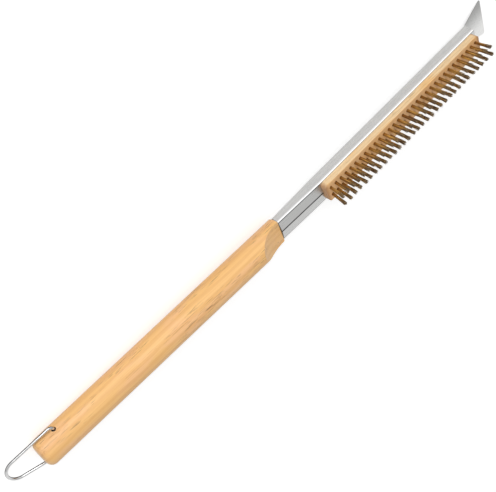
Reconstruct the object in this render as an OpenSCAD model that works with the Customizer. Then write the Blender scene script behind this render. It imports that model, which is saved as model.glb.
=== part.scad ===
// Pizza oven brush: a turned wooden handle with a wire hanging loop, a folded steel
// channel that ends in a flared scraper, and a wooden block with two rows of brass tufts.
// Sizes are in mm. X runs along the handle towards the scraper, Y across it and +Z
// towards the bristles. The origin is the centre of the flat end of the handle's butt.

/* [Handle] */
// Diameter of the turned grip
handle_d = 24.6; // [20:0.2:34]
// Length of the grip from the butt to the shoulder
handle_len = 255; // [160:1:420]
// Rounding of the butt's edge
butt_r = 6; // [2:0.5:9]
// Bevel around the shoulder's edge
shoulder_bevel = 0.8; // [0.2:0.1:1.2]
// Radius of the scoop cut in front of the shoulder, seen from the side
scoop_r = 39; // [25:1:80]
// Length of the tenon that the channel slides over
tenon_len = 46; // [25:1:48]
// Play between the tenon and the channel on each side
tenon_play = 0.2; // [0.1:0.05:0.5]
// Gap between the shoulder and the end of the channel
shoulder_gap = 0.3; // [0.1:0.1:1]

/* [Channel and scraper] */
// Width across the channel
channel_w = 21; // [18:0.2:24]
// Depth of the channel from its back to its lips
channel_depth = 10.9; // [9:0.1:13]
// Thickness of the sheet
sheet = 0.8; // [0.6:0.1:1.2]
// Outside radius of the folded edges
bend_r = 1.4; // [1.3:0.1:2]
// Height of the lips' outer edges over the handle's axis
lip_z = 1.6; // [0:0.1:3]
// Rise of the two lips towards the seam where they meet
ridge_h = 1.2; // [0.4:0.1:2]
// Width of the seam between the lips
seam_gap = 0.5; // [0.3:0.1:1]
// Length of the socket from the handle to the brush block
socket_len = 48.5; // [46.5:0.5:70]
// Length of the channel under and beyond the brush block
head_len = 201.5; // [120:0.5:300]
// Angle at which the head leans back from the handle's line
rake = 2.1; // [0:0.1:6]
// Size of the corner that is folded off the back at the handle's end
fold_in = 4.3; // [2:0.1:5]
// Length over which that corner runs out
fold_run = 58; // [40:1:90]

/* [Scraper] */
// Length of the scraper beyond the channel
scraper_len = 26; // [15:0.5:45]
// Width of the scraper's edge
scraper_w = 38.4; // [26:0.2:60]
// Angle at which the scraper is bent back
scraper_bend = 5; // [1:0.5:20]
// Radius of the scraper's two corners
scraper_r = 2; // [0.5:0.5:5]
// Width of the ground bevel along the scraper's edge
edge_grind = 1.6; // [0.5:0.1:3]

/* [Brush block] */
// Length of the wooden block
block_len = 199; // [100:1:290]
// Width of the wooden block
block_w = 18.8; // [14:0.2:20]
// Thickness of the wooden block over the lips
block_h = 5.9; // [5:0.1:10]
// Corner radius of the block's two ends
block_r = 4; // [1:0.5:7]
// Bevel along the block's upper edges
block_bevel = 0.5; // [0.2:0.1:1]
// Width of the neck that passes between the lips
neck_w = 7.6; // [5:0.2:10]
// Width of the foot that the lips hold
foot_w = 15; // [11:0.2:16]
// Thickness of that foot
foot_h = 3; // [2:0.2:4]
// Play of the neck and the foot in the channel
block_play = 0.2; // [0.05:0.05:0.4]

/* [Bristles] */
// Number of tufts in each row
tufts = 32; // [8:1:48]
// Distance between the two rows
row_gap = 7.8; // [5:0.2:10]
// Distance from the block's end to the first tuft
tuft_inset = 5; // [3:0.5:12]
// Height of the bristles over the block
bristle_len = 16.4; // [10:0.2:30]
// Diameter of a tuft's hole
tuft_d = 3; // [2:0.1:4]
// Depth of a tuft's hole
tuft_sunk = 3.8; // [2:0.1:4.5]
// Diameter of a tuft where it leaves its hole
tuft_waist = 2.3; // [1.6:0.1:3]
// Diameter of a tuft at its cut tips
tuft_tip = 3.3; // [2:0.1:4.5]
// Outward lean of the tufts at both ends
end_lean = 7; // [0:0.5:12]

/* [Hanging loop] */
// Diameter of the loop's wire
wire_d = 2.4; // [1.6:0.1:3]
// Distance of the cross hole from the butt
hole_x = 19.5; // [14:0.5:40]
// Play between the wire and its hole on each side
hole_play = 0.4; // [0.3:0.05:0.8]
// Depth of each wire end in its hole
wire_in = 7; // [4:0.5:9]
// Reach of the loop beyond the cross hole, to the wire's centre
loop_reach = 46.8; // [40:0.1:80]
// Angle at which each leg runs inwards
leg_angle = 9.5; // [2:0.5:14]
// Bend radius where the wire leaves the hole
wire_bend = 3.5; // [2.5:0.5:6]
// Angle at which the loop hangs below the handle's line
loop_drop = 8.6; // [0:0.1:30]

/* [Display] */
// Piece to draw

/* [Hidden] */
$fn = 96;
eps = 0.01;
kink_lap = 0.1;
kink_step = 0.02;
block_gap = 0.3;
edge_t = 0.3;
far = 600;
handle_r = handle_d / 2;
channel_x = handle_len + shoulder_gap;
kink_x = channel_x + socket_len;
back_z = lip_z - channel_depth;
fold_slope = fold_in / fold_run;
fold_pitch = atan(fold_slope * cos(45));
scoop_z = lip_z + 0.1;
bend_inner = bend_r - sheet;
slot_w = neck_w + 2 * block_play;
block_side = block_play / 2;
seat_z = lip_z + kink_step;
top_z = seat_z + block_h;
pitch = (block_len - 2 * tuft_inset) / (tufts - 1);
wire_r = wire_d / 2;
wire_lap = 0.3;
wire_swell = 0.03;
wire_out = 0.2;
leg_rho = wire_bend * (1 + sin(leg_angle));
leg_y = handle_r + wire_out + wire_bend * cos(leg_angle);
loop_c = (loop_reach - (leg_y * cos(leg_angle) + leg_rho * sin(leg_angle))) / (1 - sin(leg_angle));
loop_r = loop_reach - loop_c;
leg_len = (loop_c + loop_r * sin(leg_angle) - leg_rho) / cos(leg_angle);

wood = [0.86, 0.69, 0.46];
steel = [0.74, 0.74, 0.73];
wire_steel = [0.70, 0.70, 0.70];
brass = [0.63, 0.48, 0.22];

// Profile in Y and Z, drawn out along X
module along_x(len) {
  rotate([90, 0, 90])
    linear_extrude(height = len)
      children();
}

// Places children in the raked frame of the head, whose origin is the kink
module in_head() {
  translate([kink_x, 0, 0])
    rotate([0, rake, 0])
      children();
}

// Rectangle with round corners from the corner [y0, z0] to [y1, z1]
module round_rect(y0, z0, y1, z1, r) {
  translate([y0 + r, z0]) square([y1 - y0 - 2 * r, z1 - z0]);
  translate([y0, z0 + r]) square([y1 - y0, z1 - z0 - 2 * r]);
  for (y = [y0 + r, y1 - r], z = [z0 + r, z1 - r])
    translate([y, z]) circle(r = r);
}

// Section of the folded channel, taken in by a distance on every side
module channel_section(in, r) {
  round_rect(-channel_w / 2 + in, back_z + in, channel_w / 2 - in, lip_z - in, r);
}

// Section of the socket, whose two lips rise to the seam
module socket_section(in, r) {
  half = channel_w / 2 - in - r;
  low = back_z + in;
  high = lip_z - in;
  polygon([[-half, low], [half, low], [half, high], [0, high + ridge_h], [-half, high]]);
  translate([-half - r, low + r]) square([2 * (half + r), high - low - 2 * r]);
  for (y = [-half, half], z = [low + r, high - r])
    translate([y, z]) circle(r = r);
}

// Half space on one side of the kink's mitre plane
module before_kink() {
  translate([kink_x, 0, 0])
    rotate([0, rake / 2, 0])
      translate([-far, -far / 2, -far / 2]) cube(far);
}

module after_kink() {
  translate([kink_x, 0, 0])
    rotate([0, rake / 2, 0])
      translate([-kink_lap, -far / 2, -far / 2]) cube(far);
}

// The two back corners that are folded in at the handle's end
module folded_corners(in, run_pitch) {
  for (side = [0, 1])
    mirror([0, side, 0])
      translate([channel_x, channel_w / 2 - fold_in, back_z])
        rotate([45, 0, 0])
          rotate([0, run_pitch, 0])
            translate([-far / 2, -far / 2, -far + in]) cube(far);
}

// Outside of the channel from its open mouth to the scraper, taken in on every side
module channel_form(in, r, over) {
  difference() {
    union() {
      intersection() {
        before_kink();
        translate([channel_x - over, 0, 0]) along_x(socket_len + over + 5) socket_section(in, r);
      }
      intersection() {
        after_kink();
        in_head() translate([-5, 0, 0]) along_x(head_len + over + 5) channel_section(in - kink_step, r);
      }
    }
    folded_corners(in, fold_pitch);
  }
}

// Outline of the flared scraper from its root to its edge, seen from above
module scraper_outline() {
  root = channel_w / 2 - 0.3;
  flare = atan((scraper_w / 2 - root) / scraper_len);
  cx = scraper_len - scraper_r;
  cy = root + cx * tan(flare) - scraper_r / cos(flare);
  tx = cx - scraper_r * sin(flare);
  ty = cy + scraper_r * cos(flare);
  polygon([[0, -root], [tx, -ty], [cx, -cy], [scraper_len, -cy],
    [scraper_len, cy], [cx, cy], [tx, ty], [0, root]]);
  for (side = [-1, 1])
    translate([cx, side * cy]) circle(r = scraper_r);
}

// Scraper blade: the channel's back wall carried on, bent back and ground at its edge
module scraper() {
  drop = scraper_len * tan(scraper_bend);
  ground = edge_grind * tan(scraper_bend);
  translate([head_len, 0, back_z - kink_step])
    intersection() {
      translate([0, scraper_w, 0])
        rotate([90, 0, 0])
          linear_extrude(height = 2 * scraper_w)
            polygon([[0, 0], [scraper_len, -drop], [scraper_len, edge_t - drop],
              [scraper_len - edge_grind, sheet - drop + ground], [0, sheet]]);
      translate([0, 0, -far / 2]) linear_extrude(height = far) scraper_outline();
    }
}

// Handle: turned grip with a scooped shoulder, a cross hole and a flat-sided tenon
module handle() {
  flat = channel_w / 2 - sheet - tenon_play;
  inset = sheet + tenon_play;
  color(wood)
    difference() {
      union() {
        rotate([0, 90, 0])
          rotate_extrude()
            union() {
              square([handle_r - butt_r, handle_len]);
              translate([0, butt_r]) square([handle_r, handle_len - butt_r - shoulder_bevel]);
              polygon([[0, handle_len - shoulder_bevel], [handle_r, handle_len - shoulder_bevel],
                [handle_r - shoulder_bevel, handle_len], [0, handle_len]]);
              translate([handle_r - butt_r, butt_r])
                intersection() {
                  circle(r = butt_r);
                  translate([0, -butt_r]) square(butt_r);
                }
            }
        difference() {
          translate([handle_len - 20, 0, 0])
            along_x(tenon_len + 20)
              round_rect(-flat, back_z + inset, flat, lip_z - inset, 0.6);
          folded_corners(inset, 0);
          tenon_bevels();
        }
      }
      translate([handle_len, far / 2, scoop_z + scoop_r])
        rotate([90, 0, 0])
          intersection() {
            cylinder(r = scoop_r, h = far, $fn = 180);
            translate([-far, -far / 2, -eps]) cube([far, far, far + 1]);
          }
      translate([hole_x, handle_r + 1, 0])
        rotate([90, 0, 0]) cylinder(r = wire_r + hole_play, h = handle_d + 2, $fn = 48);
    }
}

// Lead-in bevels around the tenon's free end
module tenon_bevels() {
  lead = 1.5;
  flat = channel_w / 2 - sheet - tenon_play;
  inset = sheet + tenon_play;
  x = handle_len + tenon_len;
  for (side = [0, 1])
    mirror([0, side, 0])
      translate([x, flat - lead, 0]) rotate([0, 0, -45]) translate([-far / 2, 0, -far / 2]) cube(far);
  translate([x, 0, lip_z - inset - lead]) rotate([0, 45, 0]) translate([-far / 2, -far / 2, 0]) cube(far);
  translate([x, 0, back_z + inset + lead]) rotate([0, -45, 0]) translate([-far / 2, -far / 2, -far]) cube(far);
}

// Channel and scraper, folded from one sheet
module scraper_channel() {
  color(steel) {
    difference() {
      channel_form(0, bend_r, 0);
      channel_form(sheet, bend_inner, 5);
      translate([channel_x - 1, -seam_gap / 2, lip_z - sheet - 1])
        cube([socket_len + 4, seam_gap, ridge_h + sheet + 3]);
      in_head()
        translate([-block_gap, -slot_w / 2, lip_z - sheet - 1]) cube([head_len + 2, slot_w, sheet + 3]);
    }
    in_head() scraper();
  }
}

// Places children in the head's frame, to one side by part of the block's play
module on_block() {
  in_head() translate([0, block_side, 0]) children();
}

// Wooden block with a neck and a foot that the channel's lips hold
module bristle_block() {
  color(wood)
    on_block()
      difference() {
        union() {
          translate([0, 0, seat_z])
            linear_extrude(height = block_h)
              round_rect(0, -block_w / 2, block_len, block_w / 2, block_r);
          translate([1, -neck_w / 2, lip_z - sheet - block_play - eps])
            cube([block_len - 1, neck_w, seat_z - lip_z + sheet + block_play + 2 * eps]);
          translate([1, -foot_w / 2, lip_z - sheet - block_play - foot_h])
            cube([block_len - 1, foot_w, foot_h]);
        }
        for (side = [0, 1])
          mirror([0, side, 0])
            translate([0, block_w / 2 - block_bevel, top_z])
              rotate([-45, 0, 0]) translate([-1, -far / 2, 0]) cube(far);
        for (i = [0 : tufts - 1], side = [-1, 1])
          translate([tuft_inset + i * pitch, side * row_gap / 2, top_z - tuft_sunk])
            cylinder(d = tuft_d, h = tuft_sunk + 1, $fn = 24);
      }
}

// Lean of a tuft along the block: the tufts at the ends stand outwards
function lean(i) = end_lean * (pow(i / (tufts - 1), 12) - pow(1 - i / (tufts - 1), 12)) + 1.2 * sin(137.5 * i);

// One tuft: a straight root in its hole and a bundle that widens to its cut tips
module tuft(i, side) {
  cylinder(d = tuft_d - 0.1, h = tuft_sunk, $fn = 24);
  translate([0, 0, tuft_sunk - 0.3])
    rotate([-side * 1.5, lean(i), 0])
      cylinder(d1 = tuft_waist, d2 = tuft_tip, h = bristle_len + 0.3, $fn = 24);
}

// Two rows of brass tufts
module bristle_tufts() {
  color(brass)
    on_block()
      for (i = [0 : tufts - 1], side = [-1, 1])
        translate([tuft_inset + i * pitch, side * row_gap / 2, top_z - tuft_sunk])
          tuft(i, side);
}

// Straight stretch of wire along +Z that runs a little way into the bends at its ends
module wire_run(len) {
  translate([0, 0, -wire_lap]) cylinder(r = wire_r, h = len + 2 * wire_lap, $fn = 32);
}

// Bend in the wire, a touch thicker than the straight wire that it takes in
module wire_arc(radius, angle) {
  rotate_extrude(angle = angle)
    translate([radius, 0]) circle(r = wire_r + wire_swell, $fn = 32);
}

// One side of the loop: wire end, bend at the hole and leg
module loop_side() {
  translate([0, handle_r - wire_in, 0])
    rotate([-90, 0, 0]) wire_run(wire_in + wire_out);
  translate([-wire_bend, handle_r + wire_out, 0])
    wire_arc(wire_bend, 90 + leg_angle);
  translate([-leg_rho, leg_y, 0])
    rotate([0, -90, leg_angle]) wire_run(leg_len);
}

// Wire hanging loop, whose two ends turn in the handle's cross hole
module hanging_loop() {
  color(wire_steel)
    translate([hole_x, 0, 0])
      rotate([0, -loop_drop, 0]) {
        loop_side();
        mirror([0, 1, 0]) loop_side();
        translate([-loop_c, 0, 0])
          rotate([0, 0, 90 + leg_angle]) wire_arc(loop_r, 180 - 2 * leg_angle);
      }
}

handle();
scraper_channel();
bristle_block();
bristle_tufts();
hanging_loop();
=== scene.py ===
import math

import bpy
import numpy as np
from mathutils import Matrix, Vector


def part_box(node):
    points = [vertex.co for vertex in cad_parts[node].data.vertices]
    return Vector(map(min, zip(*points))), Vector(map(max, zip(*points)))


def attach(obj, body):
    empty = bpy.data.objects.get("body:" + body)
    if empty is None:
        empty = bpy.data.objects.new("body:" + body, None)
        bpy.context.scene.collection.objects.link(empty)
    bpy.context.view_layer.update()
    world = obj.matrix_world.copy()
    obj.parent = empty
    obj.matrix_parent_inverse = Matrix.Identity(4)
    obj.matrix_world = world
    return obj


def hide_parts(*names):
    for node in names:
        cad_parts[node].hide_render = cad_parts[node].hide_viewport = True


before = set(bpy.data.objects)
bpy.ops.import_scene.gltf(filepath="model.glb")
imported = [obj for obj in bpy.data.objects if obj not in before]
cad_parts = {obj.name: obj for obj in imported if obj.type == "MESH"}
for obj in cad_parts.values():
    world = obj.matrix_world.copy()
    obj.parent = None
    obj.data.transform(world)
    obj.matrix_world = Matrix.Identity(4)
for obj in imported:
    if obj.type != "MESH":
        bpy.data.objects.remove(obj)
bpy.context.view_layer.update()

bl_info = {
    "name": "Pizza Oven Brush",
    "version": (1, 0, 0),
    "blender": (4, 5, 0),
    "location": "View3D > Sidebar > Brush",
    "description": "Dresses the packed brush: oiled wood, brushed steel, brass wire, plated loop",
    "category": "Object",
}

TAU = 2 * math.pi

# How often each feature of the wood repeats in a metre, along the grain and across it
WAVER, FIBRES, PORES = (7, 60, 60), (26, 1500, 1500), (80, 2400, 2400)
PORE_CLUSTERS, PATCHES = (22, 130, 130), (24, 95, 95)
RING_WAVER = 0.011

# The same for the streaks and clouds of the brushed steel and for the marks on the plated wire
STREAKS, CLOUDS, WIRE_MARKS = (35, 2600, 2600), (14, 60, 60), (300, 900, 900)

# Levels that noise mostly keeps within, and those between which each feature of the wood appears
NOISE_LOW, NOISE_HIGH = 0.3, 0.7
PORE_LEVELS, CLUSTER_LEVELS = (0.60, 0.68), (0.43, 0.55)
PATCH_LEVELS, FIBRE_LEVELS = (0.45, 0.62), (0.42, 0.72)

# Strengths of the wood's grain over its main colour, and the tone of its pores
PATCH_STRENGTH, RING_STRENGTH, FIBRE_STRENGTH, PORE_TONE = 0.8, 0.40, 0.42, 0.32

# Radii at which the painted shade in the cross hole begins to fade and ends
HOLE_SHADE_FULL, HOLE_SHADE_END = 0.00185, 0.00215

# Distances from the channel's middle plane at which the painted shade of its seam, lips and folds
# and the painted highlight of its bends begin and end
SEAM_DARK, SEAM_END = 0.0005, 0.00075
LIP_FULL, LIP_END = 0.0093, 0.0096
FOLD_FROM, FOLD_TO, FOLD_SOFT = 0.0093, 0.0098, 0.0002
BEND_FROM, BEND_FULL, BEND_LOW = 0.0091, 0.0094, -0.0004

# Y at which the scraper's painted shading is darkest and lightest
BLADE_DARK_Y, BLADE_LIGHT_Y = 0.018, -0.012

# Lengths along X over which the steel's painted shade and highlight change: before the kink, and
# after and before the scraper's start. Height over which the socket's painted shade sets in, and
# where the mouth's painted shade fades.
KINK_FADE, BLADE_FADE, BEND_FADE, SOCKET_FADE = 0.0006, 0.002, 0.001, 0.0008
MOUTH_DARK, MOUTH_END = 0.0002, 0.0005

# Roughness of the steel and the plated wire, least and most, and how much smoother the bends are
STEEL_ROUGHNESS, WIRE_ROUGHNESS, BEND_SHINE = (0.26, 0.36), (0.16, 0.26), 0.12

# Tones of the steel, as factors of its colour: painted shade in gaps and on the lips, a painted
# highlight on the bends, and the blade's painted shading
GAP_SHADE, LIP_SHADE, BEND_HIGHLIGHT, BLADE_DARK, BLADE_LIGHT = 0.05, 0.84, 1.45, 0.48, 1.28

# Tones of the brass, as shares of its red, green and blue: dullest wires, brightest wires and the
# painted shade at the roots
DULL_BRASS, BRIGHT_BRASS, ROOT_SHADE = (0.28, 0.18, 0.18), 1.6, (0.55, 0.42, 0.30)

# Shares of a tuft's height at which the painted shade at the root has faded and the tip's tone is
# full
SHANK_FROM, TIP_FULL = 0.45, 0.95

# The plated wire's painted dark reflection: where it begins and ends in wire diameters, its
# strength and its tone
PAINTED_REFLECTION_FROM, PAINTED_REFLECTION_TO, PAINTED_REFLECTION, PAINTED_REFLECTION_TONE = 0.10, 0.34, 0.88, 0.10

# The floor's own tone, and how much paler the camera and gloss see it
FLOOR_TONE, FLOOR_LIFT, FLOOR_GLOSS_LIFT = 0.72, 0.55, 0.26

# Level of the studio's plain light, and the levels that gloss sees, by degrees from overhead
# towards +Y
STUDIO_LEVEL = 0.58
STUDIO_STOPS = ((-180, 0.9), (-95, 0.85), (-66, 0.95), (-36, 0.82), (-20, 0.66), (-8, 0.14),
                (8, 0.14), (16, 1.1), (75, 1.15), (95, 0.95), (180, 0.9))


# Settings

class HeadSettings(bpy.types.PropertyGroup):
    """Where the head's own frame stands in the brush's frame"""

    kink_x: bpy.props.FloatProperty(
        name="Kink", description="Distance of the channel's kink from the butt",
        default=0.3038, unit="LENGTH")
    rake: bpy.props.FloatProperty(
        name="Rake", description="Angle at which the head leans back",
        default=math.radians(2.1), subtype="ANGLE")
    channel_len: bpy.props.FloatProperty(
        name="Channel length", description="Distance from the kink to the scraper",
        default=0.2012, unit="LENGTH")
    block_top: bpy.props.FloatProperty(
        name="Block top", description="Height of the block's drilled face",
        default=0.00752, unit="LENGTH")
    block_len: bpy.props.FloatProperty(
        name="Block length", description="Length of the wooden block",
        default=0.199, unit="LENGTH")
    block_y: bpy.props.FloatProperty(
        name="Block offset", description="Offset of the block to one side",
        default=0.0001, unit="LENGTH")


class TuftSettings(bpy.types.PropertyGroup):
    """Two rows of tufts of brass wire"""

    tufts: bpy.props.IntProperty(
        name="Tufts", description="Number of tufts in each row",
        default=32, min=2)
    row_gap: bpy.props.FloatProperty(
        name="Row gap", description="Distance between the rows",
        default=0.0078, unit="LENGTH")
    inset: bpy.props.FloatProperty(
        name="Inset", description="Distance from the block's end to the first tuft",
        default=0.005, unit="LENGTH")
    length: bpy.props.FloatProperty(
        name="Length", description="Height of the wires over the block",
        default=0.01625, unit="LENGTH")
    wires: bpy.props.IntProperty(
        name="Wires", description="Number of wires in a tuft",
        default=24, min=3)
    wire_d: bpy.props.FloatProperty(
        name="Wire", description="Diameter of one wire",
        default=0.0004, unit="LENGTH")
    waist: bpy.props.FloatProperty(
        name="Waist", description="Diameter of a tuft where it leaves the block",
        default=0.0027, unit="LENGTH")
    tip: bpy.props.FloatProperty(
        name="Tip", description="Diameter of a tuft at its cut tips",
        default=0.0038, unit="LENGTH")
    sunk: bpy.props.FloatProperty(
        name="Sunk", description="Depth to which the wires reach into their holes",
        default=0.0025, unit="LENGTH")
    crimp: bpy.props.FloatProperty(
        name="Crimp", description="Height of the wires' waves at the tips",
        default=0.00022, unit="LENGTH")
    end_lean: bpy.props.FloatProperty(
        name="End lean", description="Outward lean of the tufts at both ends",
        default=math.radians(7), subtype="ANGLE")


class LoopSettings(bpy.types.PropertyGroup):
    """Wire hanging loop"""

    wire_d: bpy.props.FloatProperty(
        name="Wire", description="Diameter of the wire",
        default=0.0024, unit="LENGTH")
    hole_x: bpy.props.FloatProperty(
        name="Hole", description="Distance of the cross hole from the butt",
        default=0.0195, unit="LENGTH")
    handle_r: bpy.props.FloatProperty(
        name="Grip radius", description="Radius of the handle at the hole",
        default=0.0123, unit="LENGTH")
    wire_in: bpy.props.FloatProperty(
        name="Wire in", description="Depth of each wire end in its hole",
        default=0.007, unit="LENGTH")
    wire_out: bpy.props.FloatProperty(
        name="Wire out", description="Straight stretch outside the hole",
        default=0.0002, unit="LENGTH")
    reach: bpy.props.FloatProperty(
        name="Reach", description="Reach of the loop beyond the hole",
        default=0.0468, unit="LENGTH")
    leg_angle: bpy.props.FloatProperty(
        name="Leg angle", description="Angle at which each leg runs inwards",
        default=math.radians(9.5), subtype="ANGLE")
    bend: bpy.props.FloatProperty(
        name="Bend", description="Bend radius at the hole",
        default=0.0035, unit="LENGTH")
    droop: bpy.props.FloatProperty(
        name="Droop", description="Angle at which the loop hangs",
        default=math.radians(8.6), subtype="ANGLE")


class FinishSettings(bpy.types.PropertyGroup):
    """Colours of the finishes, and of the painted shade in the cross hole and among the tufts"""

    honey: bpy.props.FloatVectorProperty(
        name="Honey wood", description="Main colour of the handle",
        default=(0.90, 0.53, 0.195), subtype="COLOR")
    amber: bpy.props.FloatVectorProperty(
        name="Amber grain", description="Darker growth in the handle",
        default=(0.76, 0.385, 0.12), subtype="COLOR")
    rose: bpy.props.FloatVectorProperty(
        name="Rose fleck", description="Pinkish patches in the handle",
        default=(0.90, 0.52, 0.25), subtype="COLOR")
    pale: bpy.props.FloatVectorProperty(
        name="Pale wood", description="Main colour of the brush block",
        default=(0.90, 0.66, 0.385), subtype="COLOR")
    straw: bpy.props.FloatVectorProperty(
        name="Straw grain", description="Darker growth in the brush block",
        default=(0.70, 0.46, 0.24), subtype="COLOR")
    steel: bpy.props.FloatVectorProperty(
        name="Steel", description="Colour of the brushed sheet",
        default=(0.70, 0.70, 0.69), subtype="COLOR")
    brass: bpy.props.FloatVectorProperty(
        name="Brass", description="Colour of the wires' shanks",
        default=(0.66, 0.36, 0.085), subtype="COLOR")
    burnt: bpy.props.FloatVectorProperty(
        name="Dark brass", description="Colour of the wires' cut tips",
        default=(0.105, 0.08, 0.052), subtype="COLOR")
    # Painted shade and painted bounce light from the brass, laid on the drilled face among the
    # tufts
    drilled: bpy.props.FloatVectorProperty(
        name="Drilled face", description="Tone of the block among the tufts",
        default=(0.86, 0.47, 0.18), subtype="COLOR")
    end_grain: bpy.props.FloatVectorProperty(
        name="End grain", description="Tone of the block's ends",
        default=(0.42, 0.20, 0.09), subtype="COLOR")
    # Painted shade: the colour laid into the cross hole, where shade falls
    hole: bpy.props.FloatVectorProperty(
        name="Hole", description="Darkness in the cross hole",
        default=(0.045, 0.022, 0.008), subtype="COLOR")
    plated: bpy.props.FloatVectorProperty(
        name="Plated wire", description="Colour of the loop's plating",
        default=(0.72, 0.72, 0.72), subtype="COLOR")


class StageSettings(bpy.types.PropertyGroup):
    """Camera, floor and light"""

    eye: bpy.props.FloatVectorProperty(
        name="Eye", description="Place of the camera",
        default=(-0.045196, 0.699606, 0.565125), unit="LENGTH")
    right: bpy.props.FloatVectorProperty(
        name="Right", description="Direction of the picture's right side",
        default=(0.69848, -0.27209, 0.66189))
    up: bpy.props.FloatVectorProperty(
        name="Up", description="Direction of the picture's top",
        default=(0.65446, 0.61703, -0.43699))
    focal: bpy.props.FloatProperty(
        name="Focal length", description="Focal length in widths of the picture",
        default=1187.78 / 496)
    shift: bpy.props.FloatVectorProperty(
        name="Shift", description="Shift of the picture in widths of it",
        size=2, default=(0.0019, -0.0016))
    floor_size: bpy.props.FloatProperty(
        name="Floor", description="Length of the floor's sides",
        default=9.0, unit="LENGTH")
    floor_gap: bpy.props.FloatProperty(
        name="Floor gap", description="Gap between the brush and the floor",
        default=0.0001, unit="LENGTH")
    butt_r: bpy.props.FloatProperty(
        name="Butt radius", description="Distance from the butt's end to the handle's full width",
        default=0.006, unit="LENGTH")
    lamp_place: bpy.props.FloatVectorProperty(
        name="Lamp", description="Place of the lamp",
        default=(-0.1, 1.55, 0.75), unit="LENGTH")
    lamp_size: bpy.props.FloatProperty(
        name="Lamp size", description="Diameter of the lamp",
        default=1.1, unit="LENGTH")
    lamp_power: bpy.props.FloatProperty(
        name="Lamp power", description="Power of the lamp in watts",
        default=16.0, unit="POWER")


SETTINGS = {
    "brush_head": HeadSettings,
    "brush_tufts": TuftSettings,
    "brush_loop": LoopSettings,
    "brush_finish": FinishSettings,
    "brush_stage": StageSettings,
}


# Shader nodes

class Sketch:
    """Adds nodes to a node tree and links them"""

    def __init__(self, tree):
        self.tree = tree

    def add(self, kind, inputs=None, **settings):
        """A node of a kind, with its settings and its inputs, each a value or a socket"""
        node = self.tree.nodes.new(kind)
        for name, value in settings.items():
            setattr(node, name, value)
        for key, value in (inputs or {}).items():
            if isinstance(value, bpy.types.NodeSocket):
                self.tree.links.new(value, node.inputs[key])
            else:
                node.inputs[key].default_value = value
        return node

    def math(self, operation, *values):
        """One step of arithmetic on numbers or sockets"""
        return self.add("ShaderNodeMath", dict(enumerate(values)), operation=operation).outputs[0]

    def times(self, a, b):
        """Product of two numbers or sockets"""
        return self.math("MULTIPLY", a, b)

    def distance(self, a, b):
        """Length of a line that goes a one way and b the other"""
        squares = self.math("POWER", a, 2.0), self.math("POWER", b, 2.0)
        return self.math("SQRT", self.math("ADD", *squares))

    def span(self, value, low, high, to_low=0.0, to_high=1.0):
        """A value carried smoothly from one range to another, and held at its ends"""
        inputs = {"Value": value, "From Min": low, "From Max": high, "To Min": to_low,
                  "To Max": to_high}
        return self.add("ShaderNodeMapRange", inputs, interpolation_type="SMOOTHSTEP").outputs[0]

    def band(self, value, low, high, soft):
        """1 between two numbers, falling to 0 over a soft width on both sides"""
        rise = self.span(value, low - soft, low)
        return self.times(rise, self.span(value, high, high + soft, 1.0, 0.0))

    def place(self):
        """Object coordinates, whole and as X, Y and Z"""
        whole = self.add("ShaderNodeTexCoord").outputs["Object"]
        return whole, *self.add("ShaderNodeSeparateXYZ", {0: whole}).outputs

    def mix(self, factor, a, b):
        """Colour a with colour b laid over it"""
        node = self.add("ShaderNodeMix", data_type="RGBA")
        for key, value in ((0, factor), (6, a), (7, b)):
            if isinstance(value, bpy.types.NodeSocket):
                self.tree.links.new(value, node.inputs[key])
            else:
                node.inputs[key].default_value = value if key == 0 else (*value[:3], 1)
        return node.outputs[2]

    def noise(self, vector, scale=1.0, detail=2.0, roughness=0.5):
        """Cloudy noise about 0.5 at a place"""
        inputs = {"Vector": vector, "Scale": scale, "Detail": detail, "Roughness": roughness}
        return self.add("ShaderNodeTexNoise", inputs).outputs["Fac"]

    def stretched(self, vector, scale):
        """Coordinates scaled by a number in each direction"""
        inputs = {0: vector, 1: scale}
        return self.add("ShaderNodeVectorMath", inputs, operation="MULTIPLY").outputs[0]


def new_group(name, inputs, outputs):
    """A shader node group with named inputs and outputs, its sketch, and its inner sockets"""
    tree = bpy.data.node_groups.new(name, "ShaderNodeTree")
    for label, kind, value in inputs:
        tree.interface.new_socket(label, in_out="INPUT", socket_type=kind).default_value = value
    for label, kind in outputs:
        tree.interface.new_socket(label, in_out="OUTPUT", socket_type=kind)
    sketch = Sketch(tree)
    return tree, sketch, sketch.add("NodeGroupInput").outputs, sketch.add("NodeGroupOutput").inputs


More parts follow.
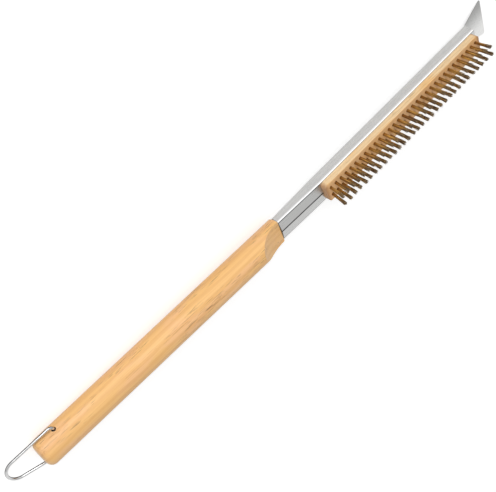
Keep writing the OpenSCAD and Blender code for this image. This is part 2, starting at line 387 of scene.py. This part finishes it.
def wood_figure():
    """Wood grain along X on Object coordinates: rings round a far pith, fibres, pores, patches"""
    group = bpy.data.node_groups.get("Wood figure")
    if group:
        return group
    inputs = [("Ring width", "NodeSocketFloat", 0.006), ("Pith Y", "NodeSocketFloat", 0.03),
              ("Pith Z", "NodeSocketFloat", -0.02)]
    names = ("Rings", "Fibres", "Pores", "Patches", "Height")
    outputs = [(name, "NodeSocketFloat") for name in names]
    group, sketch, given, out = new_group("Wood figure", inputs, outputs)
    place = sketch.add("ShaderNodeTexCoord").outputs["Object"]
    parts = sketch.add("ShaderNodeSeparateXYZ", {0: place}).outputs
    waver = sketch.noise(sketch.stretched(place, WAVER), detail=3)
    across_y = sketch.math("SUBTRACT", parts["Y"], given["Pith Y"])
    across_z = sketch.math("SUBTRACT", parts["Z"], given["Pith Z"])
    distance = sketch.distance(across_y, across_z)
    warped = sketch.math("ADD", distance, sketch.times(waver, RING_WAVER))
    turns = sketch.times(sketch.math("DIVIDE", warped, given["Ring width"]), TAU)
    rings = sketch.span(sketch.math("SINE", turns), -0.6, 1.0)
    fibres = sketch.noise(sketch.stretched(place, FIBRES), detail=4, roughness=0.62)
    spots = sketch.noise(sketch.stretched(place, PORES), detail=1)
    cluster = sketch.noise(sketch.stretched(place, PORE_CLUSTERS), detail=1)
    pores = sketch.times(sketch.span(spots, *PORE_LEVELS), sketch.span(cluster, *CLUSTER_LEVELS))
    patches = sketch.noise(sketch.stretched(place, PATCHES), detail=2)
    height = sketch.math("SUBTRACT", sketch.times(fibres, 0.5), pores)
    for name, value in zip(names, (rings, fibres, pores, patches, height)):
        group.links.new(value, out[name])
    return group


def brushed_grain():
    """Fine streaks along X on Object coordinates, as a belt leaves them on sheet steel"""
    group = bpy.data.node_groups.get("Brushed grain")
    if group:
        return group
    inputs = [("Fineness", "NodeSocketFloat", 1.0)]
    outputs = [(name, "NodeSocketFloat") for name in ("Streaks", "Clouds")]
    group, sketch, given, out = new_group("Brushed grain", inputs, outputs)
    place = sketch.add("ShaderNodeTexCoord").outputs["Object"]
    streaks = sketch.noise(sketch.stretched(place, STREAKS), scale=given["Fineness"], detail=3,
                           roughness=0.6)
    clouds = sketch.noise(sketch.stretched(place, CLOUDS), detail=2)
    for name, value in zip(("Streaks", "Clouds"), (streaks, clouds)):
        group.links.new(value, out[name])
    return group


def new_material(name):
    """An empty node material with its shader, and its sketch"""
    material = bpy.data.materials.new(name)
    material.use_nodes = True
    sketch = Sketch(material.node_tree)
    return material, sketch, material.node_tree.nodes["Principled BSDF"]


def link(sketch, shader, **sockets):
    """Links sockets to the shader's inputs of the same names"""
    for name, value in sockets.items():
        sketch.tree.links.new(value, shader.inputs[name.replace("_", " ")])


def scaled(colour, factor):
    """A colour made darker or lighter by a factor, with no channel above 1"""
    return [min(1, c * factor) for c in colour]


def bump(sketch, height, strength, distance):
    """A normal that follows a height"""
    inputs = {"Height": height, "Strength": strength, "Distance": distance}
    return sketch.add("ShaderNodeBump", inputs).outputs[0]


def turned_wood(name, main, growth, patch, ring_width, pith, roughness, coat, pore_depth, sheen,
                shades):
    """Wood: growth and patches tint the main colour, pores darken it, and shades are laid over it,
    each a mask and a colour: painted shade, and tones such as end grain. The fuzz of its fibres
    gives it a sheen."""
    material, sketch, shader = new_material(name)
    figure = sketch.add("ShaderNodeGroup", node_tree=wood_figure())
    for key, value in (("Ring width", ring_width), ("Pith Y", pith[0]), ("Pith Z", pith[1])):
        figure.inputs[key].default_value = value
    out = figure.outputs
    patches = sketch.times(sketch.span(out["Patches"], *PATCH_LEVELS), PATCH_STRENGTH)
    tint = sketch.mix(patches, main, patch)
    tint = sketch.mix(sketch.times(out["Rings"], RING_STRENGTH), tint, growth)
    tint = sketch.mix(sketch.span(out["Fibres"], *FIBRE_LEVELS, 0.0, FIBRE_STRENGTH), tint, growth)
    tint = sketch.mix(sketch.times(out["Pores"], pore_depth), tint, scaled(growth, PORE_TONE))
    for mask, colour in shades(sketch):
        tint = sketch.mix(mask, tint, colour)
    shine = sketch.span(out["Fibres"], NOISE_LOW, NOISE_HIGH, roughness - 0.06, roughness + 0.08)
    normal = bump(sketch, out["Height"], 0.25, 0.00008)
    link(sketch, shader, Base_Color=tint, Roughness=shine, Normal=normal)
    shader.inputs["Coat Weight"].default_value = coat
    shader.inputs["Coat Roughness"].default_value = 0.5
    shader.inputs["Sheen Weight"].default_value = sheen
    shader.inputs["Sheen Roughness"].default_value = 0.4
    return material


def brushed_steel(name, colour, mouth_x, kink_x, blade_x, rake):
    """Brushed sheet, with painted shade in the seam and folds of the socket, at its mouth and on
    its lips, and a painted highlight where it is bent into the lips, which are smoother there. The
    blade's painted shading runs from dark to light across it."""
    material, sketch, shader = new_material(name)
    grain = sketch.add("ShaderNodeGroup", node_tree=brushed_grain()).outputs
    streaks = sketch.span(grain["Streaks"], NOISE_LOW, NOISE_HIGH)
    light = sketch.mix(streaks, scaled(colour, 0.92), scaled(colour, 1.06))
    clouds = sketch.span(grain["Clouds"], 0.35, 0.7, 0.0, 0.2)
    tint = sketch.mix(clouds, light, scaled(colour, 0.90))
    _, x, y, z = sketch.place()
    # Painted shading: the blade is darker on one side and lighter on the other, as light falls
    # across it
    blade = sketch.span(x, blade_x, blade_x + BLADE_FADE, 0.0, 0.85)
    across = sketch.span(y, BLADE_DARK_Y, BLADE_LIGHT_Y)
    blade_shading = sketch.mix(across, scaled(colour, BLADE_DARK), scaled(colour, BLADE_LIGHT))
    tint = sketch.mix(blade, tint, blade_shading)
    side = sketch.math("ABSOLUTE", y)
    socket = sketch.span(x, kink_x - KINK_FADE, kink_x, 1.0, 0.0)
    socket = sketch.times(socket, sketch.span(z, 0.0, SOCKET_FADE))
    beyond = sketch.math("MAXIMUM", sketch.math("SUBTRACT", x, kink_x), 0.0)
    rise = sketch.math("ADD", z, sketch.times(beyond, math.sin(rake)))
    bend = sketch.times(sketch.span(side, BEND_FROM, BEND_FULL), sketch.span(rise, BEND_LOW, 0.0))
    bend = sketch.times(bend, sketch.span(x, blade_x - BEND_FADE, blade_x, 1.0, 0.0))
    # Painted highlight: the bends into the lips are brightened for the bright strip of light along
    # the fold
    tint = sketch.mix(bend, tint, scaled(colour, BEND_HIGHLIGHT))
    # Painted shade: the lips' tops are made darker because less light reaches them than the side
    # wall
    lips = sketch.times(socket, sketch.span(side, LIP_FULL, LIP_END, 0.9, 0.0))
    tint = sketch.mix(lips, tint, scaled(colour, LIP_SHADE))
    # Painted shade in the seam, in the folds beside the lips and at the mouth, where the gaps fall
    # dark
    seam = sketch.times(socket, sketch.span(side, SEAM_DARK, SEAM_END, 0.95, 0.0))
    fold_strength = sketch.span(socket, 0.0, 1.0, 0.5, 0.9)
    fold = sketch.times(sketch.band(side, FOLD_FROM, FOLD_TO, FOLD_SOFT), fold_strength)
    mouth = sketch.span(x, mouth_x + MOUTH_DARK, mouth_x + MOUTH_END, 0.75, 0.0)
    dark = sketch.math("MAXIMUM", sketch.math("MAXIMUM", seam, sketch.times(bend, fold)), mouth)
    tint = sketch.mix(dark, tint, scaled(colour, GAP_SHADE))
    shine = sketch.span(grain["Streaks"], NOISE_LOW, NOISE_HIGH, *STEEL_ROUGHNESS)
    shine = sketch.math("SUBTRACT", shine, sketch.times(bend, BEND_SHINE))
    normal = bump(sketch, grain["Streaks"], 0.06, 0.00002)
    link(sketch, shader, Base_Color=tint, Roughness=shine, Normal=normal)
    shader.inputs["Metallic"].default_value = 1.0
    return material


def brass_wire(name, shank, tip):
    """Brass wires whose tips are dark, with painted shade at their roots and a tone of its own for
    each wire
    """
    material, sketch, shader = new_material(name)
    along = sketch.add("ShaderNodeAttribute", attribute_name="along").outputs["Fac"]
    tone = sketch.add("ShaderNodeAttribute", attribute_name="tone").outputs["Fac"]
    dull = [c * share for c, share in zip(shank, DULL_BRASS)]
    root = [c * share for c, share in zip(shank, ROOT_SHADE)]
    body = sketch.mix(tone, dull, scaled(shank, BRIGHT_BRASS))
    tint = sketch.mix(sketch.span(along, SHANK_FROM, TIP_FULL, 0.0, 0.8), body, tip)
    # Painted shade at the roots, deep among the tufts
    tint = sketch.mix(sketch.span(along, 0.0, SHANK_FROM, 0.8, 0.0), tint, root)
    shine = sketch.span(tone, 0.0, 1.0, 0.5, 0.34)
    link(sketch, shader, Base_Color=tint, Roughness=shine)
    shader.inputs["Metallic"].default_value = 0.5
    return material


def plated_wire(name, colour, loop):
    """Plated wire, with a painted dark reflection along the sides that face outwards and inwards in
    the loop's plane
    """
    material, sketch, shader = new_material(name)
    place, x, _, z = sketch.place()
    marks = sketch.noise(sketch.stretched(place, WIRE_MARKS), detail=3)
    tint = sketch.mix(sketch.span(marks, 0.5, 0.75, 0.0, 0.4), colour, scaled(colour, 0.8))
    along = sketch.times(sketch.math("SUBTRACT", x, loop.hole_x), math.sin(loop.droop))
    height = sketch.math("SUBTRACT", sketch.times(z, math.cos(loop.droop)), along)
    off_plane = sketch.math("ABSOLUTE", height)
    start, end = loop.wire_d * PAINTED_REFLECTION_FROM, loop.wire_d * PAINTED_REFLECTION_TO
    # Painted reflection: a dark band along the sides near the loop's plane, for dark surroundings
    # mirrored there
    painted_reflection = sketch.span(off_plane, start, end, PAINTED_REFLECTION, 0.0)
    tint = sketch.mix(painted_reflection, tint, scaled(colour, PAINTED_REFLECTION_TONE))
    shine = sketch.span(marks, NOISE_LOW, NOISE_HIGH, *WIRE_ROUGHNESS)
    link(sketch, shader, Base_Color=tint, Roughness=shine)
    shader.inputs["Metallic"].default_value = 1.0
    return material


# Surfaces

def head_point(settings, x, y, z):
    """Points of the head's frame in the brush's frame: turned about Y by the rake, from the kink"""
    cos, sin = math.cos(settings.rake), math.sin(settings.rake)
    return np.stack([settings.kink_x + x * cos + z * sin, y, -x * sin + z * cos], axis=-1)


def tube_faces(tubes, rings, sides):
    """Faces of many tubes, each a grid of rings by sides closed by a fan at both ends"""
    ring = np.arange(rings - 1)[:, None] * sides
    side = np.arange(sides)[None, :]
    after = (side + 1) % sides
    corners = [ring + side, ring + after, ring + sides + after, ring + sides + side]
    quads = np.stack(corners, axis=-1).reshape(-1, 4)
    turn = np.arange(sides)
    start = np.stack([np.full(sides, rings * sides), (turn + 1) % sides, turn], axis=-1)
    last = (rings - 1) * sides
    end = [np.full(sides, rings * sides + 1), last + turn, last + (turn + 1) % sides]
    fans = np.concatenate([start, np.stack(end, axis=-1)])
    stride = np.arange(tubes)[:, None, None] * (rings * sides + 2)
    return (quads + stride).reshape(-1, 4), (fans + stride).reshape(-1, 3)


def tube_points(centres, across, over, radius, sides):
    """Round tubes: centre + radius * (cos a * across + sin a * over), the two end centres last"""
    a = np.arange(sides) / sides * TAU
    spokes = np.cos(a)[:, None] * across[..., None, :] + np.sin(a)[:, None] * over[..., None, :]
    grid = centres[..., None, :] + radius[..., None, None] * spokes
    grid = grid.reshape(*centres.shape[:-2], -1, 3)
    return np.concatenate([grid, centres[..., :1, :], centres[..., -1:, :]], axis=-2)


def new_piece(name, points, quads, triangles, material, smooth=True):
    """A mesh object at the origin from arrays of points, four-sided faces and triangles"""
    mesh = bpy.data.meshes.new(name)
    mesh.vertices.add(len(points))
    mesh.vertices.foreach_set("co", points.astype(np.float32).ravel())
    corners = np.concatenate([quads.ravel(), triangles.ravel()])
    counts = np.concatenate([np.full(len(quads), 4), np.full(len(triangles), 3)])
    mesh.loops.add(len(corners))
    mesh.loops.foreach_set("vertex_index", corners.astype(np.int32))
    mesh.polygons.add(len(counts))
    mesh.polygons.foreach_set("loop_start", (np.cumsum(counts) - counts).astype(np.int32))
    mesh.polygons.foreach_set("use_smooth", np.full(len(counts), smooth))
    mesh.update(calc_edges=True)
    mesh.validate()
    mesh.materials.append(material)
    piece = bpy.data.objects.new(name, mesh)
    bpy.context.scene.collection.objects.link(piece)
    return piece


def finish_node(name, material):
    """Gives a carried-over node a better material"""
    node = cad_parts[name]
    node.data.materials.clear()
    node.data.materials.append(material)
    node.data.polygons.foreach_set("material_index", np.zeros(len(node.data.polygons), np.int32))


# Operators

class BRUSH_OT_handle(bpy.types.Operator):
    """Oils the turned handle"""
    bl_idname = "brush.handle"
    bl_label = "Handle"

    def execute(self, context):
        colours = context.scene.brush_finish
        wood = turned_wood("Handle wood", colours.honey, colours.amber, colours.rose,
                           ring_width=0.0052, pith=(0.045, -0.03), roughness=0.52, coat=0.3,
                           pore_depth=0.75, sheen=0.25, shades=self.shades)
        finish_node("handle", wood)
        return {"FINISHED"}

    def shades(self, sketch):
        """Painted shade in the cross hole"""
        _, x, _, z = sketch.place()
        from_hole = sketch.math("SUBTRACT", x, bpy.context.scene.brush_loop.hole_x)
        # Painted shade: the hole is darkened for the shade inside it
        hole = sketch.span(sketch.distance(from_hole, z), HOLE_SHADE_FULL, HOLE_SHADE_END, 1.0, 0.0)
        return [(hole, bpy.context.scene.brush_finish.hole)]


class BRUSH_OT_channel(bpy.types.Operator):
    """Brushes the folded channel and its scraper"""
    bl_idname = "brush.channel"
    bl_label = "Channel and scraper"

    def execute(self, context):
        head = context.scene.brush_head
        mouth_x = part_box("scraper_channel")[0].x
        blade_x = head.kink_x + head.channel_len
        steel = brushed_steel("Channel steel", context.scene.brush_finish.steel, mouth_x,
                              head.kink_x, blade_x, head.rake)
        finish_node("scraper_channel", steel)
        return {"FINISHED"}


class BRUSH_OT_block(bpy.types.Operator):
    """Finishes the planed brush block"""
    bl_idname = "brush.block"
    bl_label = "Brush block"

    FACE_FADE = (0.0005, 0.0001)
    END_FADE = (0.0042, 0.0004)

    def execute(self, context):
        colours = context.scene.brush_finish
        wood = turned_wood("Block wood", colours.pale, colours.straw, colours.honey,
                           ring_width=0.0034, pith=(0.02, 0.05), roughness=0.62, coat=0.0,
                           pore_depth=0.5, sheen=0.1, shades=self.shades)
        finish_node("bristle_block", wood)
        return {"FINISHED"}

    def shades(self, sketch):
        """Painted shade and brass bounce light on the drilled face among the tufts, and end grain
        at both ends
        """
        scene = bpy.context.scene
        head, colours = scene.brush_head, scene.brush_finish
        _, x, _, z = sketch.place()
        along = sketch.math("SUBTRACT", x, head.kink_x)
        rise = sketch.math("ADD", z, sketch.times(along, math.sin(head.rake)))
        top, half = head.block_top, head.block_len / 2
        # Painted shade among the tufts, warmed by painted bounce light from the brass
        face = sketch.span(rise, top - self.FACE_FADE[0], top - self.FACE_FADE[1], 0.0, 0.6)
        from_middle = sketch.math("ABSOLUTE", sketch.math("SUBTRACT", along, half))
        ends = sketch.span(from_middle, half - self.END_FADE[0], half - self.END_FADE[1], 0.0, 0.75)
        return [(face, colours.drilled), (ends, colours.end_grain)]


class BRUSH_OT_tufts(bpy.types.Operator):
    """Sets two rows of wire tufts in the block"""
    bl_idname = "brush.tufts"
    bl_label = "Bristle tufts"

    RINGS = 6
    SIDES = 5
    GOLDEN_TURN = 0.381966

    # Leans in degrees, the wires' trim and stray as shares, and their waves and tones
    LEAN_SPREAD, TILT, TILT_SPREAD = 1.6, 1.5, 1.2
    LONGEST_TRIM, LEAST_STRAY, MOST_STRAY = 0.05, 0.85, 1.2
    CRIMP_WAVES, TONE_POWER = 1.3, 1.4

    def execute(self, context):
        head, tuft = context.scene.brush_head, context.scene.brush_tufts
        points, along, tone = self.wires(head, tuft)
        quads, triangles = tube_faces(len(points), self.RINGS, self.SIDES)
        colours = context.scene.brush_finish
        material = brass_wire("Brass wire", colours.brass, colours.burnt)
        piece = new_piece("wire_tufts", points.reshape(-1, 3), quads, triangles, material)
        for name, values in (("along", along), ("tone", tone)):
            attribute = piece.data.attributes.new(name, "FLOAT", "POINT")
            attribute.data.foreach_set("value", values.astype(np.float32).ravel())
        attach(piece, "head")
        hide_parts("bristle_tufts")
        return {"FINISHED"}

    def wires(self, head, tuft):
        """Wires of all tufts. A wire stands at a place of a sunflower pattern in its tuft. Its line
        runs from there to the same place of the wider tip, tilted as the tuft leans, plus a small
        crimp: a sine wave across the wire whose height grows from root to tip."""
        random = np.random.default_rng(11)
        n, m = tuft.tufts, tuft.wires
        i = np.repeat(np.arange(n), 2)
        side = np.tile([-1.0, 1.0], n)
        share = i / (n - 1)
        pitch = (head.block_len - 2 * tuft.inset) / (n - 1)
        outward = tuft.end_lean * (share ** 12 - (1 - share) ** 12)
        lean = outward + np.radians(random.uniform(-self.LEAN_SPREAD, self.LEAN_SPREAD, 2 * n))
        tilt = side * np.radians(self.TILT)
        tilt = tilt + np.radians(random.uniform(-self.TILT_SPREAD, self.TILT_SPREAD, 2 * n))
        k = np.arange(m) + 0.5
        spread = np.sqrt(k / m)
        turn = k * TAU * self.GOLDEN_TURN + random.uniform(0, TAU, (2 * n, 1))
        step = np.linspace(0, 1, self.RINGS)
        reach = tuft.length + tuft.sunk
        size = (2 * n, m)
        trim = 1 - random.uniform(0, self.LONGEST_TRIM, size)
        stray = random.uniform(self.LEAST_STRAY, self.MOST_STRAY, size)
        rise = (step * trim[..., None]) * reach - tuft.sunk
        out = np.clip(rise / tuft.length, 0, 1)
        flare = 0.5 * (tuft.tip - tuft.waist) * out ** 1.5 * stray[..., None]
        width = 0.5 * (tuft.waist - tuft.wire_d) + flare
        phase = random.uniform(0, 1, size)[..., None]
        wave = tuft.crimp * out * np.sin(TAU * (self.CRIMP_WAVES * out + phase))
        bearing = random.uniform(0, TAU, size)[..., None]
        over_block = np.maximum(rise, 0)
        hole_x = (tuft.inset + i * pitch)[:, None, None]
        hole_y = (head.block_y + side * tuft.row_gap / 2)[:, None, None]
        x = hole_x + np.tan(lean)[:, None, None] * over_block
        y = hole_y + np.tan(tilt)[:, None, None] * over_block
        x = x + width * (spread * np.cos(turn))[..., None] + wave * np.cos(bearing)
        y = y + width * (spread * np.sin(turn))[..., None] + wave * np.sin(bearing)
        centres = head_point(head, x, y, head.block_top + rise).reshape(-1, self.RINGS, 3)
        tangent = np.gradient(centres, axis=1)
        tangent /= np.linalg.norm(tangent, axis=-1, keepdims=True)
        across = np.cross(tangent, [0.0, 1.0, 0.0])
        across /= np.linalg.norm(across, axis=-1, keepdims=True)
        over = np.cross(tangent, across)
        radius = np.full(centres.shape[:2], tuft.wire_d / 2)
        points = tube_points(centres, across, over, radius, self.SIDES)
        out = out.reshape(-1, self.RINGS)
        rows = np.repeat(out, self.SIDES, axis=1)
        along = np.concatenate([rows, out[:, :1], out[:, -1:]], axis=1)
        tone = random.uniform(0, 1, (len(points), 1)) ** self.TONE_POWER
        tone = np.repeat(tone, points.shape[1], axis=1)
        return points, along, tone


class BRUSH_OT_loop(bpy.types.Operator):
    """Bends the wire hanging loop"""
    bl_idname = "brush.loop"
    bl_label = "Hanging loop"

    SIDES = 28
    END_STEPS, STRAIGHT_STEPS, BEND_STEPS = 40, 6, 24

    def execute(self, context):
        loop = context.scene.brush_loop
        line, tangent = self.line(loop)
        tilt = Matrix.Rotation(-loop.droop, 3, "Y")
        turn = np.array(tilt)
        centres = (line @ turn.T + np.array([loop.hole_x, 0, 0]))[None]
        over = np.broadcast_to(turn @ np.array([0.0, 0.0, 1.0]), centres.shape)
        across = np.cross(over, (tangent @ turn.T)[None])
        radius = np.full(centres.shape[:2], loop.wire_d / 2)
        points = tube_points(centres, -across, over, radius, self.SIDES)
        quads, triangles = tube_faces(1, centres.shape[1], self.SIDES)
        material = plated_wire("Plated wire", context.scene.brush_finish.plated, loop)
        piece = new_piece("hanging_wire", points.reshape(-1, 3), quads, triangles, material)
        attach(piece, "loop")
        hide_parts("hanging_loop")
        return {"FINISHED"}

    def line(self, loop):
        """Middle line of the wire and its direction, in the loop's own plane. Half of it is a round
        end, a straight leg, a bend and a straight wire end, and the other half is its mirror image.
        Along an arc the direction turns evenly with the length, and along a straight it stays."""
        cos, sin = math.cos(loop.leg_angle), math.sin(loop.leg_angle)
        rho = loop.bend * (1 + sin)
        leg_y = loop.handle_r + loop.wire_out + loop.bend * cos
        middle = (loop.reach - (leg_y * cos + rho * sin)) / (1 - sin)
        end_r = loop.reach - middle
        leg = (middle + end_r * sin - rho) / cos
        stretches = (
            (self.END_STEPS, end_r, math.pi / 2 - loop.leg_angle),
            (self.STRAIGHT_STEPS, None, leg),
            (self.BEND_STEPS, loop.bend, math.pi / 2 + loop.leg_angle),
            (self.STRAIGHT_STEPS, None, loop.wire_in + loop.wire_out),
        )
        heading = math.pi / 2
        place = np.array([-loop.reach, 0.0])
        points, headings = [place[None]], [np.array([heading])]
        for steps, arc, amount in stretches:
            share = np.arange(1, steps + 1) / steps
            if arc is None:
                way = np.array([math.cos(heading), math.sin(heading)])
                points.append(place + share[:, None] * amount * way)
                headings.append(np.full(steps, heading))
            else:
                now = heading - share * amount
                centre = place + arc * np.array([math.sin(heading), -math.cos(heading)])
                points.append(centre + arc * np.stack([-np.sin(now), np.cos(now)], axis=-1))
                headings.append(now)
                heading -= amount
            place = points[-1][-1]
        flat, angle = np.concatenate(points), np.concatenate(headings)
        way = np.stack([np.cos(angle), np.sin(angle)], axis=-1)
        flat = np.concatenate([flat[:0:-1] * [1, -1], flat])
        way = np.concatenate([way[:0:-1] * [-1, 1], way])
        flat3 = np.concatenate([flat, np.zeros((len(flat), 1))], axis=1)
        return flat3, np.concatenate([way, np.zeros((len(way), 1))], axis=1)


class BRUSH_OT_stage(bpy.types.Operator):
    """Sets up the camera, the floor and the light"""
    bl_idname = "brush.stage"
    bl_label = "Stage"

    def execute(self, context):
        stage = context.scene.brush_stage
        self.camera(context, stage)
        self.floor(stage)
        self.world(context)
        self.lamp(stage)
        context.scene.view_settings.view_transform = "Standard"
        return {"FINISHED"}

    def camera(self, context, stage):
        """The photo's camera, fitted to the outline of the brush"""
        camera = bpy.data.objects.new("Camera", bpy.data.cameras.new("Camera"))
        context.scene.collection.objects.link(camera)
        right, up = Vector(stage.right).normalized(), Vector(stage.up).normalized()
        back = right.cross(up).normalized()
        up = back.cross(right)
        turn = Matrix((right, up, back)).transposed().to_4x4()
        camera.matrix_world = Matrix.Translation(stage.eye) @ turn
        camera.data.lens = camera.data.sensor_width * stage.focal
        camera.data.shift_x, camera.data.shift_y = stage.shift
        camera.data.clip_start, camera.data.clip_end = 0.01, 50
        context.scene.camera = camera

    def floor(self, stage):
        """A flat sheet through the lowest points of butt and scraper, on which the brush lies"""
        butt = Vector((stage.butt_r, 0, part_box("handle")[0].z))
        edge_low, edge_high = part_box("scraper_channel")
        edge = Vector((edge_high.x, 0, edge_low.z))
        slope = (edge.z - butt.z) / (edge.x - butt.x)
        half = stage.floor_size / 2
        corners = half * np.array([(-1, -1), (1, -1), (1, 1), (-1, 1)])
        heights = butt.z + (corners[:, 0] - butt.x) * slope - stage.floor_gap
        points = np.column_stack([corners, heights])
        material, sketch, shader = new_material("Paper")
        glow = sketch.add("ShaderNodeEmission", {"Color": (1, 1, 1, 1)})
        paths = sketch.add("ShaderNodeLightPath").outputs
        seen = sketch.math("MAXIMUM", paths["Is Camera Ray"], paths["Is Transmission Ray"])
        lift = sketch.math("ADD", sketch.times(seen, FLOOR_LIFT),
                           sketch.times(paths["Is Glossy Ray"], FLOOR_GLOSS_LIFT))
        sketch.tree.links.new(lift, glow.inputs["Strength"])
        shader.inputs["Base Color"].default_value = (FLOOR_TONE, FLOOR_TONE, FLOOR_TONE, 1)
        shader.inputs["Roughness"].default_value = 1.0
        shader.inputs["Specular IOR Level"].default_value = 0.0
        both = sketch.add("ShaderNodeAddShader", {0: shader.outputs[0], 1: glow.outputs[0]})
        surface = material.node_tree.nodes["Material Output"].inputs["Surface"]
        sketch.tree.links.new(both.outputs[0], surface)
        quad, no_triangles = np.array([[0, 1, 2, 3]]), np.zeros((0, 3), int)
        floor = new_piece("floor", points, quad, no_triangles, material, smooth=False)

    def world(self, context):
        """White where the camera looks past the object. Gloss sees a pale studio, a little greyer
        towards -Y, with a dark slit overhead that draws dark lines along folds and wire."""
        world = bpy.data.worlds.new("Studio")
        world.use_nodes = True
        context.scene.world = world
        sketch = Sketch(world.node_tree)
        sky = sketch.add("ShaderNodeTexCoord").outputs["Generated"]
        way = sketch.add("ShaderNodeSeparateXYZ", {0: sky}).outputs
        angle = sketch.math("ARCTAN2", way["Y"], way["Z"])
        share = sketch.math("ADD", sketch.math("DIVIDE", angle, TAU), 0.5)
        ramp = sketch.add("ShaderNodeValToRGB", {0: share})
        elements = ramp.color_ramp.elements
        while len(elements) < len(STUDIO_STOPS):
            elements.new(0.5)
        for element, (degrees, level) in zip(elements, STUDIO_STOPS):
            element.position = degrees / 360 + 0.5
            element.color = (level, level, level, 1)
        paths = sketch.add("ShaderNodeLightPath").outputs
        plain = sketch.math("MAXIMUM", paths["Is Camera Ray"], paths["Is Transmission Ray"])
        studio = (STUDIO_LEVEL, STUDIO_LEVEL, STUDIO_LEVEL)
        glossy = sketch.mix(paths["Is Glossy Ray"], studio, ramp.outputs[0])
        colour = sketch.mix(plain, glossy, (1, 1, 1))
        sketch.tree.links.new(colour, world.node_tree.nodes["Background"].inputs["Color"])

    def lamp(self, stage):
        """A soft round lamp aimed at the middle of the brush"""
        data = bpy.data.lights.new("Key light", "AREA")
        data.shape = "DISK"
        data.size = stage.lamp_size
        data.energy = stage.lamp_power
        lamp = bpy.data.objects.new("Key light", data)
        bpy.context.scene.collection.objects.link(lamp)
        place, middle = Vector(stage.lamp_place), Vector((0.26, 0, 0))
        turn = (middle - place).to_track_quat("-Z", "Y").to_matrix().to_4x4()
        lamp.matrix_world = Matrix.Translation(place) @ turn


OPERATORS = (BRUSH_OT_handle, BRUSH_OT_channel, BRUSH_OT_block, BRUSH_OT_tufts, BRUSH_OT_loop,
             BRUSH_OT_stage)


class BRUSH_PT_panel(bpy.types.Panel):
    """Lists the brush's pieces and settings"""
    bl_label = "Pizza Oven Brush"
    bl_idname = "BRUSH_PT_panel"
    bl_space_type = "VIEW_3D"
    bl_region_type = "UI"
    bl_category = "Brush"

    def draw(self, context):
        for operator in OPERATORS:
            self.layout.operator(operator.bl_idname)
        for name, settings in SETTINGS.items():
            box = self.layout.box()
            box.label(text=settings.__doc__)
            for key in settings.__annotations__:
                box.prop(getattr(context.scene, name), key)


def register():
    for settings in SETTINGS.values():
        bpy.utils.register_class(settings)
    for name, settings in SETTINGS.items():
        setattr(bpy.types.Scene, name, bpy.props.PointerProperty(type=settings))
    for operator in OPERATORS:
        bpy.utils.register_class(operator)
    bpy.utils.register_class(BRUSH_PT_panel)


def unregister():
    bpy.utils.unregister_class(BRUSH_PT_panel)
    for operator in reversed(OPERATORS):
        bpy.utils.unregister_class(operator)
    for name in SETTINGS:
        delattr(bpy.types.Scene, name)
    for settings in reversed(SETTINGS.values()):
        bpy.utils.unregister_class(settings)


def main():
    register()
    bpy.ops.brush.handle()
    bpy.ops.brush.channel()
    bpy.ops.brush.block()
    bpy.ops.brush.tufts()
    bpy.ops.brush.loop()
    bpy.ops.brush.stage()
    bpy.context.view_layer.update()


if __name__ == "__main__":
    main()
